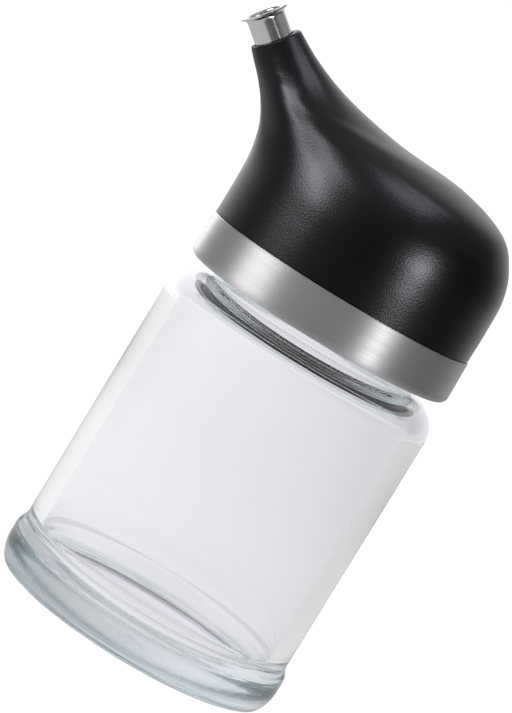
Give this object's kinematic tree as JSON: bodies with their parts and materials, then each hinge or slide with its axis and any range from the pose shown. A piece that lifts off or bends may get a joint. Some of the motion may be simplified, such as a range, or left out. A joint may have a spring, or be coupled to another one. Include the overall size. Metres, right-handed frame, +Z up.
{
  "type": "soy sauce cruet",
  "caption": "Soy sauce cruet: clear glass jar with a bulged heel, brushed steel band and a black cap drawn out to one side into a slanting steel-tipped spout.",
  "frame": {"origin": "on the surface it stands on, at the middle of the whole outline seen from above; the spout reaches further out than the jar, so the jar's axis stands 7.3 mm to +X of the origin", "axes": "+Z up along the jar's axis, spout towards -X"},
  "size_m": [0.0828, 0.0682, 0.135],
  "materials": {
    "glass": "clear, smooth",
    "band_steel": "brushed around, satin",
    "cap_plastic": "black, satin, very fine grain",
    "tip_steel": "polished steel"
  },
  "bodies": {
    "root": {"jar": "glass", "band": "band_steel", "cap": "cap_plastic", "spout_tip": "tip_steel"}
  },
  "joints": []
}
